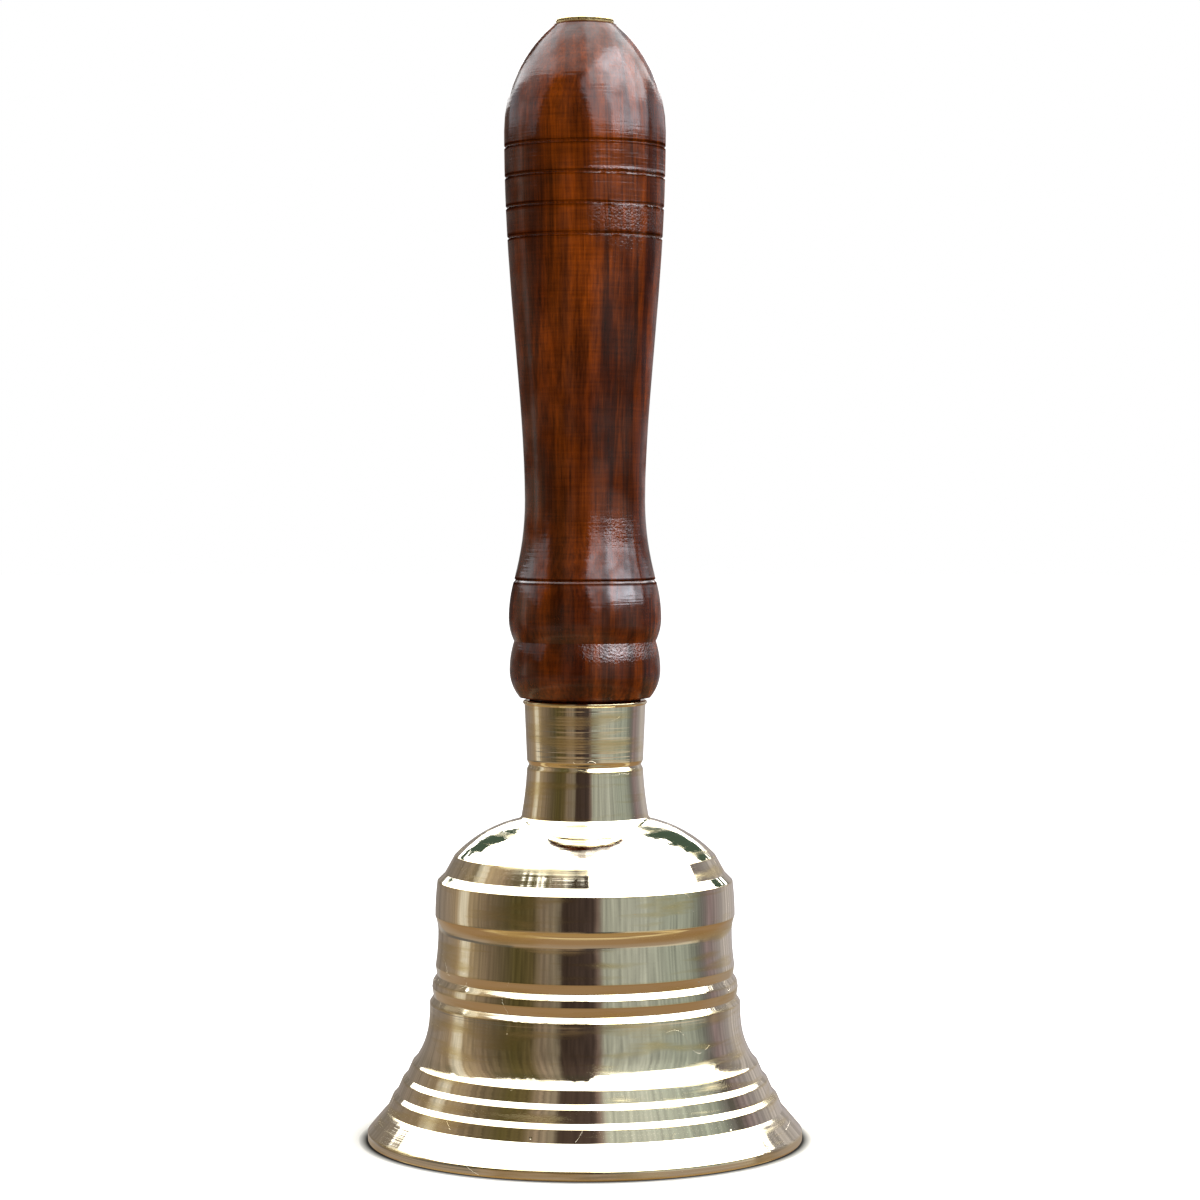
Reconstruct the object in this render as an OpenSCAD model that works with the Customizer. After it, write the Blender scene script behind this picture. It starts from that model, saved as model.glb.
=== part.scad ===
// Hand bell: turned brass bell on a lacquered wooden handle, with a clapper hung inside.
// The origin is the centre of the mouth plane, with +Z up the handle. All sizes are in millimetres.
// The turned outlines are built from the mouth upwards, each stretch standing on the one below it.

/* [Lip and rings] */
// Outer diameter of the mouth
mouth_d = 82; // [76:0.5:100]
// Height of the upright face of the lip
lip_face_h = 1.7; // [1:0.1:4]
// Rounding of the foot of the lip
lip_round = 0.4; // [0.1:0.1:0.8]
// Height of the slope above the lip
lip_slope_h = 3.4; // [2:0.1:8]
// How far the slope draws in
lip_slope_in = 2.85; // [1:0.05:4.5]
// Number of stepped rings above the lip
ring_count = 3; // [1:1:5]
// Height of the face of one ring
ring_face_h = 2.3; // [1:0.1:4]
// How far a ring's face leans in
ring_face_in = 1.0; // [0.2:0.05:1.5]
// Height of the sloped step under a ring and above the last one
ring_step_h = 0.9; // [0.6:0.1:3]
// How far such a step draws in
ring_step_in = 0.85; // [0.5:0.05:2]

/* [Waist] */
// Height of the flare from the top ring up to the lower groove
flare_h = 10.5; // [6:0.1:20]
// How far the flare draws in
flare_in = 2.45; // [1:0.05:4]
// Power of the flare: higher keeps it straighter until close to the rings
flare_power = 2.8; // [1.5:0.1:4]
// Number of turned grooves round the waist
groove_count = 2; // [1:1:3]
// Height of a groove's lower side, which faces up
groove_low_h = 1.1; // [0.5:0.1:2]
// Height of a groove's upper side, which faces down
groove_high_h = 1.75; // [0.8:0.05:3]
// Depth of a groove below the waist's own line
groove_depth = 0.55; // [0.2:0.05:1.2]
// Height of the rib between two grooves
rib_h = 1.2; // [0.5:0.1:4]
// How far the waist draws in over one groove and its rib
groove_in = 0.65; // [0:0.05:1.5]
// Height of the plain waist above the grooves
waist_h = 6.4; // [4:0.1:20]
// How far the plain waist draws in
waist_in = 0.5; // [0.2:0.05:2]

/* [Band and shoulder] */
// Height of the cove under the band
cove_h = 3.0; // [0.5:0.1:4]
// How far the band stands out from the waist
band_out = 0.55; // [0.2:0.05:1.5]
// Height of the band
band_h = 6.5; // [4:0.1:12]
// How far the band's face leans in
band_in = 0.4; // [0:0.05:1]
// Bulge of the band at its middle
band_bulge = 0.1; // [0.05:0.05:0.5]
// Width of the ledge on top of the band
ledge_in = 1.4; // [0.6:0.1:3]
// Height of that ledge
ledge_h = 1.4; // [0.5:0.1:2]
// Height of the collar above the ledge
collar_h = 3.35; // [2:0.05:6]
// How far the collar draws in
collar_in = 1.85; // [0.8:0.05:3]
// Height of the domed shoulder
dome_h = 6.75; // [4:0.05:9]
// Bulge of the shoulder above a straight line
dome_bulge = 1.05; // [0.2:0.05:1.5]

/* [Neck] */
// Diameter at the root of the neck
neck_root_d = 24.0; // [23.4:0.1:28]
// Height of the small step between shoulder and neck
neck_step_h = 0.6; // [0.2:0.1:1.5]
// Width of that step
neck_step_in = 0.5; // [0.2:0.1:1]
// Height of the flared lower part of the neck
neck_flare_h = 9.0; // [5:0.1:15]
// Hollow of that flare at its middle
neck_flare_bow = 0.15; // [0.05:0.05:0.4]
// Diameter of the neck at its narrowest
neck_waist_d = 21.9; // [20.6:0.1:23]
// Height of the neck groove's lower side
neck_groove_low_h = 0.8; // [0.4:0.1:1.5]
// Height of the neck groove's upper side
neck_groove_high_h = 0.8; // [0.4:0.1:1.5]
// Depth of the neck groove
neck_groove_depth = 0.4; // [0.1:0.05:0.8]
// Height of the plain sleeve above the groove
sleeve_h = 10.5; // [8:0.1:20]
// How much wider the sleeve is at its top than at its foot
sleeve_flare = 0.9; // [0:0.1:2]
// Height of the rolled rim of the neck
rim_h = 0.8; // [0.4:0.1:1.5]
// How far the rim stands out
rim_out = 0.3; // [0.1:0.05:0.8]

/* [Walls of the casting] */
// Wall at the edge of the mouth
lip_wall = 3.4; // [2:0.1:5]
// Wall behind the rings, where the clapper strikes
bow_wall = 2.8; // [2:0.1:4]
// Wall of the waist and shoulder
waist_wall = 2.4; // [1.6:0.1:3.2]
// Thickness of the crown between the bell's hollow and the socket
crown_t = 4.6; // [3:0.1:6]
// Diameter of the flat under the crown
crown_flat_d = 20; // [16:0.5:24]
// Diameter of the socket for the handle's tenon
socket_d = 17.6; // [14:0.1:18]

/* [Handle] */
// Diameter of the shoulder by which the wood stands on the neck
shoulder_d = 21; // [19.5:0.1:22]
// Height of the shadow gap round that shoulder
shadow_gap_h = 0.5; // [0.3:0.1:1]
// Diameter of the foot of the wood above the gap
foot_d = 24.6; // [23.2:0.1:26.5]
// Diameter of the lower bead
low_bead_d = 28.4; // [27:0.1:32]
// Height of the lower bead's widest line above the neck
low_bead_h = 5.7; // [4:0.1:10]
// Diameter in the quirk between the beads
quirk_d = 26.7; // [23:0.1:26.8]
// Height of the quirk above the lower bead's widest line
quirk_h = 5.4; // [3:0.1:10]
// Diameter of the upper bead
high_bead_d = 28.7; // [27:0.1:32]
// Height of the upper bead's widest line above the quirk
high_bead_h = 4.3; // [3:0.1:10]
// Diameter where the upper bead meets the cove
cove_foot_d = 26.7; // [24:0.1:26.8]
// Height of that line above the upper bead's widest line
cove_foot_h = 7.2; // [4:0.1:10]
// Smallest diameter of the grip
grip_waist_d = 22.6; // [16:0.1:23.8]
// Height of the smallest diameter above the cove's foot
grip_waist_h = 15; // [8:0.5:25]
// Largest diameter of the grip
grip_d = 30.3; // [26:0.1:36]
// Height of the largest diameter above the smallest
grip_h = 69; // [50:1:100]
// Power of the grip's swell: lower makes it fuller close to the waist
grip_power = 0.87; // [0.7:0.01:1.3]
// Height of the domed head above the largest diameter
head_h = 19.8; // [14:0.1:30]
// Diameter of the flat top of the head
head_top_d = 11.8; // [11.6:0.1:16]
// Number of turned lines round the grip
line_count = 4; // [0:1:8]
// Height of the highest turned line below the largest diameter
line_drop = 3.1; // [0.5:0.1:6]
// Spacing of the turned lines
line_pitch = 5.65; // [3:0.1:8]
// Depth of a turned line
line_depth = 0.3; // [0.1:0.05:0.6]
// Width of a turned line
line_w = 0.7; // [0.3:0.1:1.5]
// Gap between the tenon's end and the floor of the socket
tenon_end_gap = 0.4; // [0.1:0.1:4]
// Gap round the tenon
tenon_gap = 0.1; // [0.05:0.05:0.4]
// Gap between the spigot's end and the floor of its seat
seat_end_gap = 0.5; // [0.1:0.1:3]

/* [Tie rod and crown nut] */
// Diameter of the tie rod
rod_d = 6; // [4:0.5:6]
// Gap round the rod in the handle and the crown
rod_gap = 0.3; // [0.1:0.05:0.6]
// Gap at a thread, all round
thread_gap = 0.03; // [0.01:0.01:0.1]
// Diameter of the crown washer
washer_d = 12; // [10:0.5:15]
// Thickness of the crown washer
washer_t = 1.6; // [0.8:0.1:2.5]
// Width across the flats of the crown nut
nut_af = 10; // [9:0.5:12]
// Height of the crown nut
nut_h = 5; // [3:0.5:7]
// Width of the chamfer on the nut's ends, at the middle of a flat
nut_chamfer = 0.25; // [0.1:0.05:0.5]
// Thickness of the eye's wire
eye_wire_d = 2.6; // [1.6:0.1:3]
// Mean diameter of the eye
eye_ring_d = 7; // [6.6:0.1:9]
// Length of bare rod between the nut and the eye
rod_tail_l = 1.2; // [0.5:0.1:5]

/* [Button] */
// Diameter of the button's rim
button_d = 10.8; // [10:0.1:11.4]
// Height of the button's rim
button_rim_h = 1.0; // [0.6:0.1:2]
// Diameter of the dome on the button
button_dome_d = 9.8; // [6:0.1:9.9]
// Height of the dome on the button
button_dome_h = 1.6; // [0.8:0.1:4]
// Diameter of the button's spigot
spigot_d = 8.6; // [7.4:0.1:9]
// Length of the button's spigot
spigot_l = 7.5; // [4.5:0.5:12]
// Gap round the spigot
spigot_gap = 0.1; // [0.05:0.05:0.3]
// Brass left between the end of the rod and the top of the wood
button_cover = 1.0; // [0.5:0.1:1.5]

/* [Clapper] */
// Thickness of the link's wire
link_wire_d = 2.0; // [1.4:0.1:2.2]
// Length of the link's straight sides
link_straight_l = 5.0; // [4:0.1:10]
// Thickness of the shank's wire
shank_d = 2.8; // [1.8:0.1:3]
// Thickness of the shank's eye wire
shank_eye_wire_d = 2.2; // [1.4:0.1:2.2]
// Gap between one loop and the wire that it hangs on
loop_gap = 0.2; // [0.15:0.05:0.4]
// Diameter of the clapper ball
ball_d = 16; // [12:0.5:17]
// Height of the ball's centre above the mouth
ball_h = 12.5; // [11:0.1:15]
// Diameter of the small flats on the ball
ball_flat_d = 5; // [4:0.1:6]
// Diameter of the collar and of the rivet on the shank
rivet_d = 4.4; // [3.6:0.1:5]
// Height of the collar and of the rivet
rivet_h = 1.0; // [0.5:0.1:1.5]
// Gap round the shank in the ball
shank_gap = 0.05; // [0.02:0.01:0.1]

/* [Hidden] */
$fn = 96;
// Straight pieces in each rounded stretch of an outline, and in the long grip
ARC_STEPS = 8;
GRIP_STEPS = 18;
// Length that a cutting shape runs past the face it cuts
OVER = 1;

// Outline of the casting, from the mouth up: heights
z_lip = lip_face_h;
z_slope = z_lip + lip_slope_h;
ring_pitch = ring_face_h + ring_step_h;
z_ring = z_slope + ring_step_h;
z_flare = z_ring + ring_count * ring_pitch;
z_groove = z_flare + flare_h;
groove_h = groove_low_h + groove_high_h;
groove_pitch = groove_h + rib_h;
z_waist = z_groove + groove_count * groove_pitch - rib_h;
z_cove = z_waist + waist_h;
z_band = z_cove + cove_h;
z_ledge = z_band + band_h;
z_collar = z_ledge + ledge_h;
z_dome = z_collar + collar_h;
z_step = z_dome + dome_h;
z_root = z_step + neck_step_h;
z_neck = z_root + neck_flare_h;
z_sleeve = z_neck + neck_groove_low_h + neck_groove_high_h;
z_rim = z_sleeve + sleeve_h;
neck_top = z_rim + rim_h;

// Outline of the casting: radii
r_mouth = mouth_d / 2;
r_slope = r_mouth - lip_slope_in;
r_ring = r_slope - ring_step_in;
ring_in = ring_face_in + ring_step_in;
r_flare = r_ring - ring_count * ring_in;
r_groove = r_flare - flare_in;
groove_lean = groove_in / groove_pitch;
r_waist = r_groove - groove_lean * (z_waist - z_groove);
r_cove = r_waist - waist_in;
r_band = r_cove + band_out;
r_ledge = r_band - band_in;
r_collar = r_ledge - ledge_in;
r_dome = r_collar - collar_in;
r_root = neck_root_d / 2;
r_step = r_root + neck_step_in;
r_neck = neck_waist_d / 2;
r_rim = r_neck + sleeve_flare / 2 + rim_out;

// Crown, socket and clamping stack
socket_floor = z_root + neck_step_h;
crown_under = socket_floor - crown_t;
washer_under = crown_under - washer_t;
nut_under = washer_under - nut_h;
rod_hole_r = rod_d / 2 + rod_gap;
crown_flat_r = crown_flat_d / 2;

// Handle: heights above the mouth
z_low_bead = neck_top + low_bead_h;
z_quirk = z_low_bead + quirk_h;
z_high_bead = z_quirk + high_bead_h;
z_cove_foot = z_high_bead + cove_foot_h;
z_grip_waist = z_cove_foot + grip_waist_h;
z_grip = z_grip_waist + grip_h;
handle_top = z_grip + head_h;
rod_high = handle_top - button_cover;

// Eye of the rod, link, and the eye of the shank: each hangs round the wire above it
eye_wire_r = eye_wire_d / 2;
eye_ring_r = eye_ring_d / 2;
eye_z = nut_under - rod_tail_l - eye_ring_r;
swing_z = eye_z - eye_ring_r;
link_wire_r = link_wire_d / 2;
shank_eye_wire_r = shank_eye_wire_d / 2;
link_bend_r = max(eye_wire_r, shank_eye_wire_r) + loop_gap + link_wire_r;
link_low_z = swing_z - link_straight_l;
sway_z = link_low_z - link_bend_r;
shank_eye_r = link_wire_r + loop_gap + shank_eye_wire_r;
ball_r = ball_d / 2;
ball_flat_z = sqrt(ball_r * ball_r - ball_flat_d * ball_flat_d / 4);

// Each stretch of an outline leaves out its start and keeps its end, so stretches join up.
// Point i of an arc that is upright at a and meets b
function turned_point(a, b, i) = let (
        dr = b[0] - a[0],
        dz = b[1] - a[1],
        radius = (dr * dr + dz * dz) / (2 * abs(dr)),
        t = 2 * atan2(abs(dr), abs(dz)) * i / ARC_STEPS
    ) [a[0] + sign(dr) * radius * (1 - cos(t)), a[1] + sign(dz) * radius * sin(t)];

// Arc that leaves a upright and ends at b, and its reverse, which arrives at a upright
function turned_from(a, b) = [for (i = [1:ARC_STEPS]) turned_point(a, b, i)];
function turned_to(b, a) = [for (i = [ARC_STEPS - 1:-1:0]) turned_point(a, b, i)];

// Arc from a to b that bulges by sag to the right of the way, or to the left where sag is negative
function bowed(a, b, sag) = let (
        chord = norm(b - a),
        radius = (chord * chord / 4 + sag * sag) / (2 * sag),
        along = (b - a) / chord,
        across = [along[1], -along[0]],
        centre = (a + b) / 2 - across * (radius - sag),
        half = asin(chord / (2 * radius))
    ) [for (i = [1:ARC_STEPS]) let (t = half * (2 * i / ARC_STEPS - 1))
        centre + radius * (cos(t) * across + sin(t) * along)];

// Face of ring i, counted from the lip
function ring_points(i) = let (r = r_ring - i * ring_in, z = z_ring + i * ring_pitch)
    [[r, z], [r - ring_face_in, z + ring_face_h]];

function flare_points() = [for (i = [0:ARC_STEPS]) let (t = i / ARC_STEPS)
    [r_groove + flare_in * pow(1 - t, flare_power), z_flare + flare_h * t]];

// Groove i, with the rib below it where there is one
function groove_points(i) = let (r = r_groove - i * groove_in, z = z_groove + i * groove_pitch) concat(
    i > 0 ? [[r, z]] : [],
    [
        [r - groove_depth - groove_lean * groove_low_h, z + groove_low_h],
        [r - groove_lean * groove_h, z + groove_h]
    ]
);

// Outside of the cup, from the foot of the lip to the top of the shoulder
function cup_outline() = concat(
    [[r_mouth - lip_round, 0]],
    bowed([r_mouth - lip_round, 0], [r_mouth, lip_round], lip_round * (1 - cos(45))),
    [[r_mouth, z_lip], [r_slope, z_slope]],
    [for (i = [0:ring_count - 1]) each ring_points(i)],
    flare_points(),
    [for (i = [0:groove_count - 1]) each groove_points(i)],
    turned_to([r_waist, z_waist], [r_cove, z_cove]),
    turned_from([r_cove, z_cove], [r_band, z_band]),
    bowed([r_band, z_band], [r_ledge, z_ledge], band_bulge),
    [[r_collar, z_collar], [r_dome, z_dome]],
    bowed([r_dome, z_dome], [r_step, z_step], dome_bulge)
);

function neck_outline() = concat(
    [[r_root, z_root]],
    bowed([r_root, z_root], [r_neck, z_neck], -neck_flare_bow),
    [
        [r_neck - neck_groove_depth, z_neck + neck_groove_low_h],
        [r_neck, z_sleeve],
        [r_rim - rim_out, z_rim]
    ],
    bowed([r_rim - rim_out, z_rim], [r_rim - rim_out, neck_top], rim_out)
);

// Inside of the cup, from the flat under the crown down to the mouth
function hollow_outline() = let (
        shoulder = [r_dome - waist_wall * cos(45), z_dome - waist_wall * cos(45)]
    ) concat(
    [[0, crown_under], [crown_flat_r, crown_under]],
    bowed([crown_flat_r, crown_under], shoulder, -dome_bulge),
    [
        [r_ledge - waist_wall, z_ledge],
        [r_cove - waist_wall, z_cove],
        [r_groove - waist_wall, z_groove],
        [r_flare - bow_wall, z_flare],
        [r_ring - bow_wall, z_ring],
        [r_mouth - lip_wall, 0],
        [r_mouth - lip_wall, -OVER],
        [0, -OVER]
    ]
);

module bell_casting() {
    color("gold") difference() {
        rotate_extrude() polygon(concat([[0, 0]], cup_outline(), neck_outline(), [[0, neck_top]]));
        rotate_extrude() polygon(hollow_outline());
        translate([0, 0, socket_floor]) cylinder(d = socket_d, h = neck_top - socket_floor + OVER);
        translate([0, 0, crown_under - OVER]) cylinder(r = rod_hole_r, h = crown_t + 2 * OVER);
    }
}

// Radius of the grip between its smallest and largest diameters
function grip_radius(z) = let (t = pow((z - z_grip_waist) / grip_h, grip_power))
    grip_waist_d / 2 + (grip_d - grip_waist_d) / 4 * (1 - cos(180 * t));

function line_height(i) = z_grip - line_drop - i * line_pitch;

function handle_outline() = let (
        gap_top = neck_top + shadow_gap_h,
        foot = [foot_d / 2, gap_top],
        low_bead = [low_bead_d / 2, z_low_bead],
        quirk = [quirk_d / 2, z_quirk],
        high_bead = [high_bead_d / 2, z_high_bead],
        cove_foot = [cove_foot_d / 2, z_cove_foot],
        grip_waist = [grip_waist_d / 2, z_grip_waist],
        grip = [grip_d / 2, z_grip]
    ) concat(
    [[shoulder_d / 2, neck_top], [shoulder_d / 2, gap_top], foot],
    turned_to(foot, low_bead),
    turned_from(low_bead, quirk),
    turned_to(quirk, high_bead),
    turned_from(high_bead, cove_foot),
    turned_to(cove_foot, grip_waist),
    [for (i = [1:GRIP_STEPS]) let (z = z_grip_waist + grip_h * i / GRIP_STEPS) [grip_radius(z), z]],
    turned_from(grip, [head_top_d / 2, handle_top])
);

// V-shaped line turned into the wood where its radius is r
module turned_line(r, z) {
    flank = line_w / 2 * (1 + OVER / line_depth);
    rotate_extrude() polygon([[r - line_depth, z], [r + OVER, z - flank], [r + OVER, z + flank]]);
}

module handle() {
    tenon_r = socket_d / 2 - tenon_gap;
    tenon_z = socket_floor + tenon_end_gap;
    seat_z = handle_top - spigot_l - seat_end_gap;
    color("saddlebrown") difference() {
        union() {
            rotate_extrude() polygon(concat([[0, neck_top]], handle_outline(), [[0, handle_top]]));
            translate([0, 0, tenon_z]) cylinder(r = tenon_r, h = neck_top - tenon_z + OVER);
        }
        for (i = [0:1:line_count - 1]) turned_line(grip_radius(line_height(i)), line_height(i));
        turned_line(cove_foot_d / 2, z_cove_foot);
        translate([0, 0, tenon_z - OVER]) cylinder(r = rod_hole_r, h = handle_top - tenon_z + 2 * OVER);
        translate([0, 0, seat_z]) cylinder(r = spigot_d / 2 + spigot_gap, h = handle_top - seat_z + OVER);
    }
}

// Low domed button whose spigot sinks into the head and takes the rod's thread
module top_button() {
    dome_z = handle_top + button_rim_h;
    spigot_z = handle_top - spigot_l;
    color("goldenrod") difference() {
        rotate_extrude() polygon(concat(
            [
                [0, spigot_z],
                [spigot_d / 2, spigot_z],
                [spigot_d / 2, handle_top],
                [button_d / 2, handle_top],
                [button_d / 2, dome_z],
                [button_dome_d / 2, dome_z]
            ],
            bowed([button_dome_d / 2, dome_z], [0, dome_z + button_dome_h], button_dome_h / 4)
        ));
        translate([0, 0, spigot_z - OVER])
            cylinder(r = rod_d / 2 + thread_gap, h = rod_high - spigot_z + OVER);
    }
}

// Rod whose end tapers below the nut into a forged eye, which stands across the link
module tie_rod() {
    color("lightsteelblue") union() {
        translate([0, 0, nut_under]) cylinder(d = rod_d, h = rod_high - nut_under);
        translate([0, 0, eye_z + eye_ring_r]) cylinder(d1 = eye_wire_d, d2 = rod_d, h = rod_tail_l);
        translate([0, 0, eye_z]) rotate([0, 90, 0])
            rotate_extrude() translate([eye_ring_r, 0]) circle(r = eye_wire_r);
    }
}

module crown_washer() {
    color("silver") difference() {
        translate([0, 0, washer_under]) cylinder(d = washer_d, h = washer_t);
        translate([0, 0, washer_under - OVER]) cylinder(r = rod_hole_r, h = washer_t + 2 * OVER);
    }
}

// Hexagonal nut whose corners are turned off at both ends
module crown_nut() {
    corner_r = nut_af / 2 / cos(30);
    face_r = nut_af / 2 - nut_chamfer;
    slope_h = (corner_r + OVER - face_r) * tan(30);
    color("slategray") translate([0, 0, nut_under]) difference() {
        intersection() {
            cylinder(r = corner_r, h = nut_h, $fn = 6);
            rotate_extrude() polygon([
                [0, 0],
                [face_r, 0],
                [corner_r + OVER, slope_h],
                [corner_r + OVER, nut_h - slope_h],
                [face_r, nut_h],
                [0, nut_h]
            ]);
        }
        translate([0, 0, -OVER]) cylinder(r = rod_d / 2 + thread_gap, h = nut_h + 2 * OVER);
    }
}

// Half of a bent end of the link, in the plane of the swing
module link_bend() {
    rotate([90, 0, 0]) rotate_extrude(angle = 180) translate([link_bend_r, 0]) circle(r = link_wire_r);
}

module clapper_link() {
    color("gainsboro") union() {
        translate([0, 0, swing_z]) link_bend();
        translate([0, 0, link_low_z]) mirror([0, 0, 1]) link_bend();
        for (side = [-1, 1]) translate([side * link_bend_r, 0, link_low_z])
            cylinder(r = link_wire_r, h = swing_z - link_low_z);
    }
}

// Stem through the ball, between a collar and a domed rivet, under a round eye
module clapper_shank() {
    stem_r = shank_d / 2;
    rivet_r = rivet_d / 2;
    collar_z = ball_h + ball_flat_z;
    rivet_z = ball_h - ball_flat_z;
    color("darkgray") union() {
        translate([0, 0, sway_z]) rotate([0, 90, 0])
            rotate_extrude() translate([shank_eye_r, 0]) circle(r = shank_eye_wire_r);
        rotate_extrude() polygon(concat(
            [[0, rivet_z - rivet_h]],
            bowed([0, rivet_z - rivet_h], [rivet_r, rivet_z], rivet_h / 4),
            [
                [stem_r, rivet_z],
                [stem_r, collar_z],
                [rivet_r, collar_z],
                [rivet_r, collar_z + rivet_h],
                [stem_r, collar_z + rivet_h],
                [stem_r, sway_z - shank_eye_r],
                [0, sway_z - shank_eye_r]
            ]
        ));
    }
}

module clapper_ball() {
    color("darkgoldenrod") translate([0, 0, ball_h]) difference() {
        intersection() {
            sphere(r = ball_r);
            cube([ball_d + OVER, ball_d + OVER, 2 * ball_flat_z], center = true);
        }
        cylinder(r = shank_d / 2 + shank_gap, h = ball_d + 2 * OVER, center = true);
    }
}

bell_casting();
handle();
top_button();
tie_rod();
crown_washer();
crown_nut();
clapper_link();
clapper_shank();
clapper_ball();
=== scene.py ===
"""Hand bell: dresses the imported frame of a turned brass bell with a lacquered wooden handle.

The turned pieces take their outlines from the frame's own nodes, get the small rounded edges that
buffing leaves, and are turned again on a finer lathe. Everything is in metres, in the frame's own place.
"""
import math

import bmesh
import bpy
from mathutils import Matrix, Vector


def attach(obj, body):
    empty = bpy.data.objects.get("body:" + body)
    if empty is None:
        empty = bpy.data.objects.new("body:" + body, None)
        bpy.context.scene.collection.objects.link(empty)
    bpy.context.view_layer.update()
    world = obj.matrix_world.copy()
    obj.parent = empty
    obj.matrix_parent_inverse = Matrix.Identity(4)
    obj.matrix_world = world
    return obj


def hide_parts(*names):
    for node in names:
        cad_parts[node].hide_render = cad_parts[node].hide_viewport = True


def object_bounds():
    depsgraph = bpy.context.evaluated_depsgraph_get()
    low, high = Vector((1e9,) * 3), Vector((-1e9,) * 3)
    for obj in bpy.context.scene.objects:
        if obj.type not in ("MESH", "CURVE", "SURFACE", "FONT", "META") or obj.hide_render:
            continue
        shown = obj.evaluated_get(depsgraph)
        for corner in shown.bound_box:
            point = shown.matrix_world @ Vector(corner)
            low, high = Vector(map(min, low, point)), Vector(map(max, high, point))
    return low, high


bl_info = {
    "name": "Hand Bell",
    "version": (1, 0, 0),
    "blender": (4, 5, 0),
    "location": "View3D > Sidebar > Hand Bell",
    "description": "Turns, finishes and lights a brass hand bell on a wooden handle",
    "category": "Add Mesh",
}

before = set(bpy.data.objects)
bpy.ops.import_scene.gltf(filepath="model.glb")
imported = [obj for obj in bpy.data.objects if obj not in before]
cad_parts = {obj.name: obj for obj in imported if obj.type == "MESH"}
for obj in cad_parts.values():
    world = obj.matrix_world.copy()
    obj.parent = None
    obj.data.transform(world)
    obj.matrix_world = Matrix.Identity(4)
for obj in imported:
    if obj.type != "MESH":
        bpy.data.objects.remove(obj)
CAD_BOX = [list(corner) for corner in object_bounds()]

MM = 0.001
WELD = 1e-7

# Spans that patterns are placed on: millimetres across the wood and up the handle, degrees of the cards
LAYERS = (-15, 18)
HANDLE = (85, 205)
TORN_PART = (85, 190)
ROUND = (-180, 180)
BELOW = (-90, 0)
ABOVE = (0, 90)

FLOOR_RADIUS = 4.0
CARD_RADIUS = 3.0
LAMP_DISTANCE = 1.3
LAMP_AIM = Vector((0, 0, 0.1))
WINDOW_COLOUR = (0.86, 0.9, 1.0)

# Name, azimuth and elevation in degrees, width and height in metres, radiance, shown only in the lacquer
LAMPS = (
    ("key", 48, 50, 1.1, 1.1, 3.6, False),
    ("overhead", -60, 76, 1.1, 1.1, 0.8, False),
    ("window", 57, 38, 2.7, 1.3, 4.8, True),
    ("window_sun", 62, 38, 1.1, 1.3, 7.5, True),
    ("window_back", 136, 36, 1.3, 1.3, 1.2, True),
    ("window_left", -106, 36, 1.8, 1.2, 1.4, True),
)


def linear(code):
    """Linear colour of an sRGB hex value such as #C0A060."""
    parts = [int(code[i:i + 2], 16) / 255 for i in (1, 3, 5)]
    return tuple(p / 12.92 if p <= 0.04045 else ((p + 0.055) / 1.055) ** 2.4 for p in parts)


def stops(span, *pairs, most=1):
    """Places and colours of a colour ramp over a span. A number becomes a grey, as its share of most."""
    low, high = span
    return [
        ((at - low) / (high - low), (*(linear(shown) if isinstance(shown, str) else [shown / most] * 3), 1))
        for at, shown in pairs
    ]


def toward(azimuth, elevation):
    """Unit vector to an azimuth, in degrees from the front towards the right, and an elevation."""
    a, e = math.radians(azimuth), math.radians(elevation)
    return Vector((math.sin(a) * math.cos(e), -math.cos(a) * math.cos(e), math.sin(e)))


def add(tree, kind, inputs=None, ramp=(), **settings):
    """Adds a node, sets it up, and fills or links its inputs, which are given by name or by number.

    Ramp holds the places and colours of a colour ramp, in order.
    """
    node = tree.nodes.new(kind)
    for name, value in settings.items():
        setattr(node, name, value)
    for place, colour in ramp[1:-1]:
        node.color_ramp.elements.new(place).color = colour
    for end in (0, -1) if ramp else ():
        node.color_ramp.elements[end].position, node.color_ramp.elements[end].color = ramp[end]
    for key, value in (inputs or {}).items():
        if isinstance(value, bpy.types.NodeSocket):
            tree.links.new(value, node.inputs[key])
        else:
            node.inputs[key].default_value = value
    return node


class TurningSettings(bpy.types.PropertyGroup):
    """How finely the turned pieces are made."""

    segments: bpy.props.IntProperty(
        name="Segments", description="Faces round the axis of a turned piece", default=288, min=48)
    edge_round: bpy.props.FloatProperty(
        name="Edge rounding", description="Radius that buffing leaves on a turned edge",
        default=0.2 * MM, min=0, unit="LENGTH")
    wood_round: bpy.props.FloatProperty(
        name="Wood rounding", description="Radius that sanding and lacquer leave on the edges of the wood",
        default=0.1 * MM, min=0, unit="LENGTH")
    button_round: bpy.props.FloatProperty(
        name="Button rounding", description="Radius that hands have worn on the rim of the button",
        default=0.4 * MM, min=0, unit="LENGTH")


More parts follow.
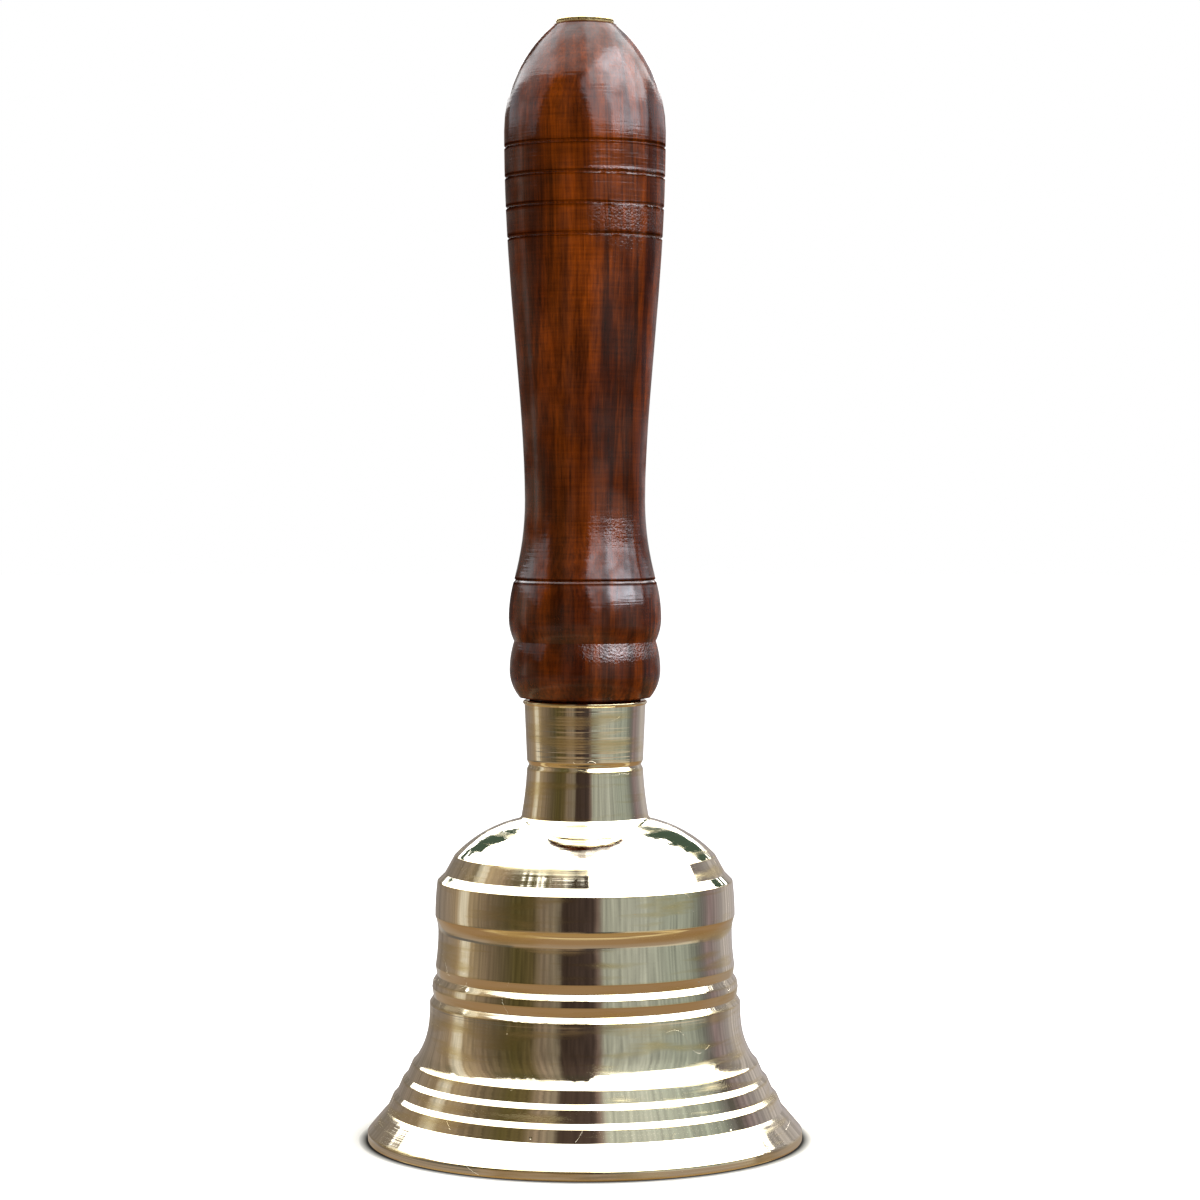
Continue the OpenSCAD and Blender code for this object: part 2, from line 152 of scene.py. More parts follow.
class BrassSettings(bpy.types.PropertyGroup):
    """Finish of the brass."""

    colour: bpy.props.FloatVectorProperty(
        name="Brass", description="Colour of the clean buffed brass",
        default=linear("#EEE6CE"), size=3, subtype="COLOR", min=0, max=1)
    warm: bpy.props.FloatVectorProperty(
        name="Warm brass", description="Colour where a thin tarnish has begun",
        default=linear("#E2D2A4"), size=3, subtype="COLOR", min=0, max=1)
    button: bpy.props.FloatVectorProperty(
        name="Button", description="Colour of the handled brass of the button",
        default=linear("#F0D690"), size=3, subtype="COLOR", min=0, max=1)
    inside: bpy.props.FloatVectorProperty(
        name="Inside", description="Colour of the unpolished inside",
        default=linear("#A98A4C"), size=3, subtype="COLOR", min=0, max=1)
    line_pitch: bpy.props.FloatProperty(
        name="Line pitch", description="Spacing of the lathe lines, coarser than real ones so they show",
        default=0.5 * MM, min=0.05 * MM, unit="LENGTH")
    coarse_from: bpy.props.FloatProperty(
        name="Coarse lines from", description="Height where the coarse lathe lines of the neck begin",
        default=71 * MM, unit="LENGTH")
    coarse_to: bpy.props.FloatProperty(
        name="Coarse lines to", description="Height where the coarse lathe lines of the neck have faded",
        default=80 * MM, unit="LENGTH")


class WoodSettings(bpy.types.PropertyGroup):
    """Finish of the handle."""

    dark: bpy.props.FloatVectorProperty(
        name="Dark streaks", description="Colour of the heartwood streaks",
        default=linear("#2A0E04"), size=3, subtype="COLOR", min=0, max=1)
    body: bpy.props.FloatVectorProperty(
        name="Wood", description="Colour of the stained wood",
        default=linear("#5A2205"), size=3, subtype="COLOR", min=0, max=1)
    amber: bpy.props.FloatVectorProperty(
        name="Amber", description="Colour of the lighter figure",
        default=linear("#8A3D06"), size=3, subtype="COLOR", min=0, max=1)


class StageSettings(bpy.types.PropertyGroup):
    """Camera and floor."""

    camera_place: bpy.props.FloatVectorProperty(
        name="Camera", description="Place of the camera",
        default=(0.0, -0.63035, 0.12328), size=3, subtype="TRANSLATION", unit="LENGTH")
    camera_pitch: bpy.props.FloatProperty(
        name="Pitch", description="How far the camera looks down",
        default=math.radians(1.962), subtype="ANGLE", unit="ROTATION")
    camera_yaw: bpy.props.FloatProperty(
        name="Yaw", description="How far the camera looks to the right",
        default=math.radians(0.2564), subtype="ANGLE", unit="ROTATION")
    camera_lens: bpy.props.FloatProperty(
        name="Lens", description="Focal length in millimetres", default=100.54, min=10)
    floor: bpy.props.FloatVectorProperty(
        name="Floor", description="Colour of the floor",
        default=linear("#F0F0EE"), size=3, subtype="COLOR", min=0, max=1)


class HandBellSettings(bpy.types.PropertyGroup):
    """All the settings of the hand bell."""

    turning: bpy.props.PointerProperty(type=TurningSettings)
    brass: bpy.props.PointerProperty(type=BrassSettings)
    wood: bpy.props.PointerProperty(type=WoodSettings)
    stage: bpy.props.PointerProperty(type=StageSettings)


# Outlines

def turned_outline(name):
    """Half section of a turned node as (radius, height) points in order.

    It starts at the point nearest the axis and goes on over the top. A closed outline ends where it starts.
    """
    section = bmesh.new()
    section.from_mesh(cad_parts[name].data)
    bmesh.ops.remove_doubles(section, verts=section.verts, dist=WELD)
    for normal in ((1, 0, 0), (0, 1, 0)):
        geometry = section.verts[:] + section.edges[:] + section.faces[:]
        bmesh.ops.bisect_plane(
            section, geom=geometry, dist=WELD, plane_co=(0, 0, 0), plane_no=normal, clear_inner=True)
    neighbours = {}
    for edge in section.edges:
        if edge.is_boundary and all(abs(v.co.y) < 2 * WELD for v in edge.verts):
            a, b = edge.verts
            neighbours.setdefault(a, []).append(b)
            neighbours.setdefault(b, []).append(a)
    ends = [v for v, near in neighbours.items() if len(near) == 1]
    start = max(ends or neighbours, key=lambda v: (-round(v.co.x, 7), v.co.z))
    way = [start, max(neighbours[start], key=lambda v: (v.co.z, v.co.x))]
    while len(neighbours[way[-1]]) == 2 and way[-1] is not start:
        a, b = neighbours[way[-1]]
        way.append(b if a is way[-2] else a)
    points = [Vector((v.co.x, v.co.z)) for v in way]
    section.free()
    return points


def corners(points):
    """The outline without the points on its straight stretches."""
    straight = math.radians(0.4)
    closed = (points[0] - points[-1]).length < WELD
    kept = [points[0]]
    for here, after in zip(points[1:], points[2:] + ([points[1]] if closed else [])):
        if (here - kept[-1]).angle(after - here, 0) > straight:
            kept.append(here)
    return kept if closed else kept + [points[-1]]


def eased(points, radius, shade_reach=0.35 * MM):
    """The outline with its sharp corners rounded, as (point, recess) pairs.

    Recess is 1 in a sharp hollow corner and 0 from shade_reach on. A rounding takes at most 0.4 of a side.
    """
    gentle = math.radians(14)
    step = math.radians(16)
    long_side = 2.2 * shade_reach
    kept = corners(points)
    result = [(kept[0], 0)]
    for before, here, after in zip(kept, kept[1:], kept[2:]):
        back, on = before - here, after - here
        bend = math.pi - back.angle(on)
        if bend < gentle:
            result.append((here, 0))
            continue
        reach = min(radius * math.tan(bend / 2), 0.4 * back.length, 0.4 * on.length)
        hollow = on.cross(back) < 0
        start = here + back.normalized() * reach
        end = here + on.normalized() * reach
        if hollow and back.length > long_side:
            result.append((start + back.normalized() * shade_reach, 0))
        count = max(2, math.ceil(bend / step))
        for i in range(count + 1):
            t = i / count
            result.append((start * (1 - t) ** 2 + here * 2 * t * (1 - t) + end * t ** 2, int(hollow)))
        if hollow and on.length > long_side:
            result.append((end + on.normalized() * shade_reach, 0))
    return result + [(kept[-1], 0)]


# The lathe

def lathe_tree():
    """Geometry Nodes tree that turns an outline, given as a line of points in the XZ plane, round Z."""
    tree = bpy.data.node_groups.new("Lathe", "GeometryNodeTree")
    tree.interface.new_socket("Outline", in_out="INPUT", socket_type="NodeSocketGeometry")
    tree.interface.new_socket("Segments", in_out="INPUT", socket_type="NodeSocketInt")
    tree.interface.new_socket("Material", in_out="INPUT", socket_type="NodeSocketMaterial")
    tree.interface.new_socket("Turned piece", in_out="OUTPUT", socket_type="NodeSocketGeometry")
    given = add(tree, "NodeGroupInput").outputs
    size = add(tree, "GeometryNodeAttributeDomainSize", {"Geometry": given["Outline"]}, component="MESH")
    ring = add(tree, "ShaderNodeMath", {0: given["Segments"], 1: 1.0}, operation="ADD").outputs[0]
    grid = add(tree, "GeometryNodeMeshGrid", {
        "Vertices X": size.outputs["Point Count"], "Vertices Y": ring}).outputs["Mesh"]
    index = add(tree, "GeometryNodeInputIndex").outputs[0]
    row = add(tree, "FunctionNodeIntegerMath", {0: index, 1: ring}, operation="DIVIDE_FLOOR").outputs[0]
    column = add(tree, "FunctionNodeIntegerMath", {0: index, 1: ring}, operation="MODULO").outputs[0]
    position = add(tree, "GeometryNodeInputPosition").outputs[0]
    place = add(tree, "GeometryNodeSampleIndex", {
        "Geometry": given["Outline"], "Value": position, "Index": row,
    }, data_type="FLOAT_VECTOR", domain="POINT")
    outline = add(tree, "ShaderNodeSeparateXYZ", {0: place.outputs[0]}).outputs
    part = add(tree, "ShaderNodeMath", {0: column, 1: given["Segments"]}, operation="DIVIDE").outputs[0]
    angle = add(tree, "ShaderNodeMath", {0: part, 1: math.tau}, operation="MULTIPLY").outputs[0]
    ends = []
    for operation in ("COSINE", "SINE"):
        share = add(tree, "ShaderNodeMath", {0: angle}, operation=operation).outputs[0]
        end = add(tree, "ShaderNodeMath", {0: share, 1: outline["X"]}, operation="MULTIPLY")
        ends.append(end.outputs[0])
    point = add(tree, "ShaderNodeCombineXYZ", {"X": ends[0], "Y": ends[1], "Z": outline["Z"]}).outputs[0]
    turned = add(tree, "GeometryNodeSetPosition", {"Geometry": grid, "Position": point}).outputs[0]
    for name in ("along", "inside", "recess"):
        value = add(tree, "GeometryNodeInputNamedAttribute", {"Name": name}, data_type="FLOAT").outputs[0]
        sample = add(tree, "GeometryNodeSampleIndex", {
            "Geometry": given["Outline"], "Value": value, "Index": row}, data_type="FLOAT", domain="POINT")
        turned = add(tree, "GeometryNodeStoreNamedAttribute", {
            "Geometry": turned, "Name": name, "Value": sample.outputs[0],
        }, data_type="FLOAT", domain="POINT").outputs[0]
    closed = add(tree, "GeometryNodeMergeByDistance", {"Geometry": turned, "Distance": WELD}).outputs[0]
    smooth = add(tree, "GeometryNodeSetShadeSmooth", {0: closed}).outputs[0]
    real = add(tree, "GeometryNodeRealizeInstances", {0: smooth}).outputs[0]
    done = add(tree, "GeometryNodeSetMaterial", {"Geometry": real, "Material": given["Material"]})
    add(tree, "NodeGroupOutput", {0: done.outputs[0]})
    return tree


def settle(piece):
    """Turns what the piece's modifiers make into its own plain mesh, with its faces outwards."""
    graph = bpy.context.evaluated_depsgraph_get()
    mesh = bpy.data.meshes.new_from_object(
        piece.evaluated_get(graph), preserve_all_data_layers=True, depsgraph=graph)
    piece.modifiers.clear()
    shape = bmesh.new()
    shape.from_mesh(mesh)
    bmesh.ops.recalc_face_normals(shape, faces=shape.faces)
    shape.to_mesh(mesh)
    shape.free()
    mesh.name = piece.name
    piece.data = mesh


def turn(name, outline, material, segments, hollow_from=None):
    """Turns an outline into a piece. Points from number hollow_from on lie on its inside."""
    line = bpy.data.meshes.new(name)
    edges = [(i, i + 1) for i in range(len(outline) - 1)]
    line.from_pydata([(point.x, 0, point.y) for point, recess in outline], edges, [])
    along, inside, recessed = (
        line.attributes.new(kind, "FLOAT", "POINT") for kind in ("along", "inside", "recess"))
    length = 0
    for i, (point, recess) in enumerate(outline):
        length += (point - outline[i - 1][0]).length / MM if i else 0
        along.data[i].value = length
        inside.data[i].value = 1 if hollow_from is not None and i >= hollow_from else 0
        recessed.data[i].value = recess
    piece = bpy.data.objects.new(name, line)
    bpy.context.scene.collection.objects.link(piece)
    tree = bpy.data.node_groups.get("Lathe") or lathe_tree()
    lathe = piece.modifiers.new("Lathe", "NODES")
    lathe.node_group = tree
    sockets = tree.interface.items_tree
    lathe[sockets["Segments"].identifier] = segments
    lathe[sockets["Material"].identifier] = material
    settle(piece)
    piece.modifiers.new("Weighted normals", "WEIGHTED_NORMAL")
    return piece


def seat(piece, body, node):
    """The piece rides on its body and stands for its node, which it hides."""
    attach(piece, body)
    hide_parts(node)


# Materials, in which a pattern's scale is the number of its marks in a metre: 1000 is one a millimetre

def blank_material(name):
    """A new material and its empty tree."""
    material = bpy.data.materials.new(name)
    material.use_nodes = True
    material.node_tree.nodes.clear()
    return material, material.node_tree


def brass_marks(tree, settings, place, along):
    """Lathe lines, smears of tarnish, and the relief in millimetres of lines, pits and hair scratches.

    Pits of 0.6 mm, 4 mm apart, and scratches 0.1 mm wide are coarser than real ones, which wouldn't show.
    """
    side = add(tree, "ShaderNodeSeparateXYZ", {0: place}).outputs
    steps = add(tree, "ShaderNodeMath", {
        0: along, 1: MM / settings.line_pitch}, operation="MULTIPLY").outputs[0]
    across = [
        add(tree, "ShaderNodeMath", {0: side[axis], 1: 25.0}, operation="MULTIPLY").outputs[0]
        for axis in ("X", "Y")
    ]
    wound = add(tree, "ShaderNodeCombineXYZ", {"X": steps, "Y": across[0], "Z": across[1]}).outputs[0]
    lines = add(tree, "ShaderNodeTexNoise", {"Vector": wound, "Scale": 1.0, "Detail": 2.0}).outputs["Fac"]
    wiped = add(tree, "ShaderNodeMapping", {"Vector": wound, "Scale": (0.22, 2.2, 2.2)}).outputs[0]
    smears = add(tree, "ShaderNodeTexNoise", {"Vector": wiped, "Scale": 1.0, "Detail": 3.0}).outputs["Fac"]
    smear = add(tree, "ShaderNodeMapRange", {"Value": smears, 1: 0.5, 2: 0.68}).outputs[0]
    cells = add(tree, "ShaderNodeTexVoronoi", {"Vector": place, "Scale": 230.0}).outputs
    hollow = add(tree, "ShaderNodeMapRange", {
        "Value": cells["Distance"], 1: 0.0, 2: 0.07, 3: 1.0, 4: 0.0}).outputs[0]
    picked = add(tree, "ShaderNodeMath", {0: cells["Color"], 1: 0.68}, operation="GREATER_THAN").outputs[0]
    pit = add(tree, "ShaderNodeMath", {0: hollow, 1: picked}, operation="MULTIPLY").outputs[0]
    drift = add(tree, "ShaderNodeTexNoise", {"Vector": place, "Scale": 55.0, "Detail": 1.0}).outputs["Fac"]
    scratch = add(tree, "ShaderNodeMath", {0: drift, 1: 0.5, 2: 0.0025}, operation="COMPARE").outputs[0]
    rubs = add(tree, "ShaderNodeTexNoise", {
        "Vector": place, "Scale": 90.0, "W": 3.0}, noise_dimensions="4D").outputs["Fac"]
    scratched = add(tree, "ShaderNodeMath", {0: rubs, 1: 0.55}, operation="GREATER_THAN").outputs[0]
    hair = add(tree, "ShaderNodeMath", {0: scratch, 1: scratched}, operation="MULTIPLY").outputs[0]
    begun = add(tree, "ShaderNodeMapRange", {
        "Value": side["Z"], 1: settings.coarse_from, 2: settings.coarse_from + MM, 3: 0.0, 4: 0.022,
    }).outputs[0]
    ended = add(tree, "ShaderNodeMapRange", {
        "Value": side["Z"], 1: settings.coarse_to - 4 * MM, 2: settings.coarse_to, 3: 1.0, 4: 0.0,
    }).outputs[0]
    depth = add(tree, "ShaderNodeMath", {
        0: begun, 1: ended, 2: 0.011}, operation="MULTIPLY_ADD").outputs[0]
    turned = add(tree, "ShaderNodeMath", {0: lines, 1: depth}, operation="MULTIPLY").outputs[0]
    pitted = add(tree, "ShaderNodeMath", {
        0: pit, 1: -0.06, 2: turned}, operation="MULTIPLY_ADD").outputs[0]
    marked = add(tree, "ShaderNodeMath", {
        0: hair, 1: -0.02, 2: pitted}, operation="MULTIPLY_ADD").outputs[0]
    return lines, smear, marked


def cast_brass(name, settings, clean_colour, wear):
    """Cast yellow brass, turned and buffed bright.

    Lathe lines run round it, coarser on the neck. The buffed face is slightly wavy, one wave to 14 mm,
    with smears of thin tarnish, small casting pits and a few hair scratches. Wear, from 0 to 1, takes away
    the mirror.
    """
    material, tree = blank_material(name)
    place = add(tree, "ShaderNodeTexCoord").outputs["Object"]
    along, inside, recess = (
        add(tree, "ShaderNodeAttribute", attribute_name=kind).outputs["Fac"]
        for kind in ("along", "inside", "recess"))
    lines, smear, marked = brass_marks(tree, settings, place, along)
    tinge = add(tree, "ShaderNodeMath", {0: recess, 1: 0.6, 2: smear}, operation="MULTIPLY_ADD").outputs[0]
    clean = add(tree, "ShaderNodeMix", {
        0: tinge, 6: (*clean_colour, 1), 7: (*settings.warm, 1)}, data_type="RGBA").outputs[2]
    colour = add(tree, "ShaderNodeMix", {
        0: inside, 6: clean, 7: (*settings.inside, 1)}, data_type="RGBA").outputs[2]
    gloss = add(tree, "ShaderNodeMapRange", {"Value": lines, 3: 0.02, 4: 0.08}).outputs[0]
    rubbed = add(tree, "ShaderNodeMath", {0: gloss, 1: wear}, operation="ADD").outputs[0]
    dull = add(tree, "ShaderNodeMath", {0: smear, 1: 0.16, 2: rubbed}, operation="MULTIPLY_ADD").outputs[0]
    matt = add(tree, "ShaderNodeMath", {0: inside, 1: 0.25, 2: dull}, operation="MULTIPLY_ADD").outputs[0]
    waves = add(tree, "ShaderNodeTexNoise", {"Vector": place, "Scale": 70.0, "Detail": 1.0}).outputs["Fac"]
    ripple = add(tree, "ShaderNodeBump", {
        "Height": waves, "Distance": 0.06 * MM, "Strength": 1.0}).outputs[0]
    cut = add(tree, "ShaderNodeBump", {
        "Height": marked, "Distance": MM, "Strength": 1.0, "Normal": ripple}).outputs[0]
    round_axis = add(tree, "ShaderNodeTangent", direction_type="RADIAL", axis="Z").outputs[0]
    shader = add(tree, "ShaderNodeBsdfPrincipled", {
        "Base Color": colour, "Metallic": 1.0, "Roughness": matt, "Anisotropic": 0.5,
        "Anisotropic Rotation": 0.25, "Normal": cut, "Tangent": round_axis})
    add(tree, "ShaderNodeOutputMaterial", {"Surface": shader.outputs[0]})
    return material


def wood_figure(tree, settings, warped, across):
    """Colour of the wood: amber figure 7 mm wide, and streaks 1.7 mm wide and 42 mm long."""
    broad = add(tree, "ShaderNodeMapping", {"Vector": warped, "Scale": (140, 60, 30)}).outputs[0]
    figure = add(tree, "ShaderNodeTexNoise", {"Vector": broad, "Scale": 1.0, "Detail": 4.0}).outputs["Fac"]
    light = add(tree, "ShaderNodeMapRange", {"Value": figure, 1: 0.4, 2: 0.6}).outputs[0]
    heart = add(tree, "ShaderNodeValToRGB", {"Fac": across}, ramp=stops(
        LAYERS, (-12, 0.25), (-7, 0.5), (-2, 1), (2, 0.9), (7, 0.95), (15, 0.8))).outputs[0]
    glow = add(tree, "ShaderNodeMath", {0: light, 1: heart}, operation="MULTIPLY").outputs[0]
    base = add(tree, "ShaderNodeMix", {
        0: glow, 6: (*settings.body, 1), 7: (*settings.amber, 1)}, data_type="RGBA").outputs[2]
    sheets = add(tree, "ShaderNodeMapping", {"Vector": warped, "Scale": (600, 120, 24)}).outputs[0]
    streak = add(tree, "ShaderNodeTexNoise", {
        "Vector": sheets, "Scale": 1.0, "Detail": 4.0, "Distortion": 0.6}).outputs["Fac"]
    thin = add(tree, "ShaderNodeMapRange", {"Value": streak, 1: 0.44, 2: 0.6}).outputs[0]
    streaky = add(tree, "ShaderNodeValToRGB", {"Fac": across}, ramp=stops(
        LAYERS, (-12, 0.6), (-3, 0.5), (0, 0.45), (6, 0.75), (16, 0.75))).outputs[0]
    dark = add(tree, "ShaderNodeMath", {0: thin, 1: streaky}, operation="MULTIPLY").outputs[0]
    return add(tree, "ShaderNodeMix", {
        0: dark, 6: base, 7: (*settings.dark, 1)}, data_type="RGBA").outputs[2]


def wood_tone(tree, warped, up, recess, ridges):
    """How light the wood is: fibres, turning ridges, clouds in the stain, and dark bottoms of the cuts,
    partly stain pooled there and partly painted shade.

    Fibres of 0.4 mm are coarser than real ones, which wouldn't show. The clouds are 5 mm wide.
    """
    fibres = add(tree, "ShaderNodeMapping", {"Vector": warped, "Scale": (2600, 2600, 90)}).outputs[0]
    fibre = add(tree, "ShaderNodeTexNoise", {"Vector": fibres, "Scale": 1.0, "Detail": 2.0}).outputs["Fac"]
    grain = add(tree, "ShaderNodeMath", {0: ridges, 1: 0.5, 2: fibre}, operation="MULTIPLY_ADD").outputs[0]
    shade = add(tree, "ShaderNodeMapRange", {"Value": grain, 1: 0.48, 2: 1.02, 3: 0.55, 4: 1.4}).outputs[0]
    # Darker at the bottoms of the cuts: pooled stain and painted shade in the recesses.
    bottom = add(tree, "ShaderNodeMath", {0: recess, 1: 3.0}, operation="POWER").outputs[0]
    stain_and_painted_shade_in_cuts = add(tree, "ShaderNodeMath", {0: bottom, 1: -0.6, 2: 1.0}, operation="MULTIPLY_ADD").outputs[0]
    by_height = add(tree, "ShaderNodeValToRGB", {"Fac": up}, ramp=stops(
        HANDLE, (86, 0.8), (130, 0.76), (150, 1), (180, 0.95), (200, 0.82))).outputs[0]
    cloudy = add(tree, "ShaderNodeMapping", {"Vector": warped, "Scale": (190, 190, 70)}).outputs[0]
    cloud = add(tree, "ShaderNodeTexNoise", {"Vector": cloudy, "Scale": 1.0, "Detail": 4.0}).outputs["Fac"]
    stain = add(tree, "ShaderNodeMapRange", {"Value": cloud, 1: 0.35, 2: 0.65, 3: 0.65, 4: 1.2}).outputs[0]
    stained = add(tree, "ShaderNodeMath", {0: by_height, 1: stain}, operation="MULTIPLY").outputs[0]
    toned = add(tree, "ShaderNodeMath", {0: stained, 1: shade}, operation="MULTIPLY").outputs[0]
    return add(tree, "ShaderNodeMath", {0: stain_and_painted_shade_in_cuts, 1: toned}, operation="MULTIPLY").outputs[0]


def lacquer_skin(tree, place, height, up, across, recess):
    """How thick the lacquer is, and its relief: an orange peel of 3 mm, with 0.4 mm blobs on torn grain.

    It is thinner where hands have rubbed it, and gone from the bottoms of the cuts but for a few glints.
    """
    rubbed = add(tree, "ShaderNodeTexNoise", {
        "Vector": place, "Scale": 160.0, "Detail": 5.0}).outputs["Fac"]
    handled = add(tree, "ShaderNodeValToRGB", {"Fac": up}, ramp=stops(
        HANDLE, (126, 1), (140, 0.72), (180, 0.7), (187, 0.6))).outputs[0]
    wet = add(tree, "ShaderNodeMapRange", {"Value": rubbed, 1: 0.35, 2: 0.6, 3: 0.3, 4: handled}).outputs[0]
    peel = add(tree, "ShaderNodeTexNoise", {"Vector": place, "Scale": 350.0, "Detail": 2.0}).outputs["Fac"]
    crumbs = add(tree, "ShaderNodeTexNoise", {
        "Vector": place, "Scale": 2300.0, "Detail": 3.0}).outputs["Fac"]
    up_torn = add(tree, "ShaderNodeMapRange", {
        "Value": height, 1: TORN_PART[0] * MM, 2: TORN_PART[1] * MM}).outputs[0]
    torn_at = add(tree, "ShaderNodeValToRGB", {"Fac": up_torn}, ramp=stops(
        TORN_PART, (90, 0), (91.5, 1), (94, 1), (95, 0), (112, 0), (113.5, 0.2), (116.5, 0.2), (118, 0),
        (155, 0), (166.5, 0.3), (171.5, 0.7), (175.2, 1), (175.6, 0), (180.3, 0), (180.6, 1), (181.4, 1),
        (181.7, 0))).outputs[0]
    to_side = add(tree, "ShaderNodeValToRGB", {"Fac": across}, ramp=stops(
        LAYERS, (-1, 0), (4, 1))).outputs[0]
    torn = add(tree, "ShaderNodeMath", {0: torn_at, 1: to_side}, operation="MULTIPLY").outputs[0]
    glint = add(tree, "ShaderNodeMapRange", {"Value": peel, 1: 0.47, 2: 0.55}).outputs[0]
    filled = add(tree, "ShaderNodeMath", {0: glint, 1: torn}, operation="MULTIPLY").outputs[0]
    dry = add(tree, "ShaderNodeMath", {0: recess, 1: 0.4}, operation="POWER").outputs[0]
    bare = add(tree, "ShaderNodeMath", {0: dry, 1: filled}, operation="SUBTRACT", use_clamp=True).outputs[0]
    kept = add(tree, "ShaderNodeMath", {0: 1.0, 1: bare}, operation="SUBTRACT").outputs[0]
    coated = add(tree, "ShaderNodeMath", {0: kept, 1: wet}, operation="MULTIPLY").outputs[0]
    blobs = add(tree, "ShaderNodeMath", {0: crumbs, 1: torn}, operation="MULTIPLY").outputs[0]
    skin = add(tree, "ShaderNodeMath", {0: blobs, 1: 3.6, 2: peel}, operation="MULTIPLY_ADD").outputs[0]
    return coated, skin


def lacquered_wood(settings):
    """Turned hardwood, stained red-brown and thickly lacquered.

    It shows a deep red-brown with an amber heart, dark streaks to one side and fine turning lines under a
    wet gloss. Below some of the cuts the lacquer has set in blobs on torn grain. The turning lines are
    0.45 mm apart, coarser than real ones, which wouldn't show.
    """
    material, tree = blank_material("Lacquered_hardwood")
    place = add(tree, "ShaderNodeTexCoord").outputs["Object"]
    height = add(tree, "ShaderNodeSeparateXYZ", {0: place}).outputs["Z"]
    recess = add(tree, "ShaderNodeAttribute", attribute_name="recess").outputs["Fac"]
    slow = add(tree, "ShaderNodeMapping", {"Vector": place, "Scale": (25, 25, 8)}).outputs[0]
    bent = add(tree, "ShaderNodeTexNoise", {"Vector": slow, "Scale": 1.0, "Detail": 1.0}).outputs["Color"]
    warped = add(tree, "ShaderNodeVectorMath", {
        0: bent, 1: (5 * MM, 5 * MM, 0), 2: place}, operation="MULTIPLY_ADD").outputs[0]
    layer = add(tree, "ShaderNodeSeparateXYZ", {0: warped}).outputs["X"]
    across = add(tree, "ShaderNodeMapRange", {
        "Value": layer, 1: LAYERS[0] * MM, 2: LAYERS[1] * MM}).outputs[0]
    up = add(tree, "ShaderNodeMapRange", {"Value": height, 1: HANDLE[0] * MM, 2: HANDLE[1] * MM}).outputs[0]
    rings = add(tree, "ShaderNodeMapping", {"Vector": place, "Scale": (120, 120, 2200)}).outputs[0]
    ridges = add(tree, "ShaderNodeTexNoise", {"Vector": rings, "Scale": 1.0, "Detail": 2.0}).outputs["Fac"]
    figure = wood_figure(tree, settings, warped, across)
    tone = wood_tone(tree, warped, up, recess, ridges)
    colour = add(tree, "ShaderNodeVectorMath", {0: figure, "Scale": tone}, operation="SCALE").outputs[0]
    coated, skin = lacquer_skin(tree, place, height, up, across, recess)
    turned = add(tree, "ShaderNodeBump", {
        "Height": ridges, "Distance": 0.025 * MM, "Strength": 1.0}).outputs[0]
    coat = add(tree, "ShaderNodeBump", {
        "Height": skin, "Distance": 0.05 * MM, "Strength": 1.0, "Normal": turned}).outputs[0]
    shader = add(tree, "ShaderNodeBsdfPrincipled", {
        "Base Color": colour, "Roughness": 0.6, "Specular IOR Level": 0.0, "Normal": turned,
        "Coat Weight": coated, "Coat Roughness": 0.15, "Coat IOR": 1.5, "Coat Normal": coat})
    add(tree, "ShaderNodeOutputMaterial", {"Surface": shader.outputs[0]})
    return material


def fitting_steel(name, colour, roughness):
    """Mild steel as it comes from the bar or the plating bath: a soft grey with a faint mottle of 1 mm."""
    material, tree = blank_material(name)
    place = add(tree, "ShaderNodeTexCoord").outputs["Object"]
    mottle = add(tree, "ShaderNodeTexNoise", {
        "Vector": place, "Scale": 900.0, "Detail": 3.0}).outputs["Fac"]
    tone = add(tree, "ShaderNodeMapRange", {"Value": mottle, 3: 0.85, 4: 1.1}).outputs[0]
    tinted = add(tree, "ShaderNodeVectorMath", {
        0: linear(colour), "Scale": tone}, operation="SCALE").outputs[0]
    rough = add(tree, "ShaderNodeMapRange", {
        "Value": mottle, 3: roughness - 0.08, 4: roughness + 0.08}).outputs[0]
    grit = add(tree, "ShaderNodeBump", {
        "Height": mottle, "Distance": 0.01 * MM, "Strength": 1.0}).outputs[0]
    shader = add(tree, "ShaderNodeBsdfPrincipled", {
        "Base Color": tinted, "Metallic": 1.0, "Roughness": rough, "Normal": grit})
    add(tree, "ShaderNodeOutputMaterial", {"Surface": shader.outputs[0]})
    return material


# Operators

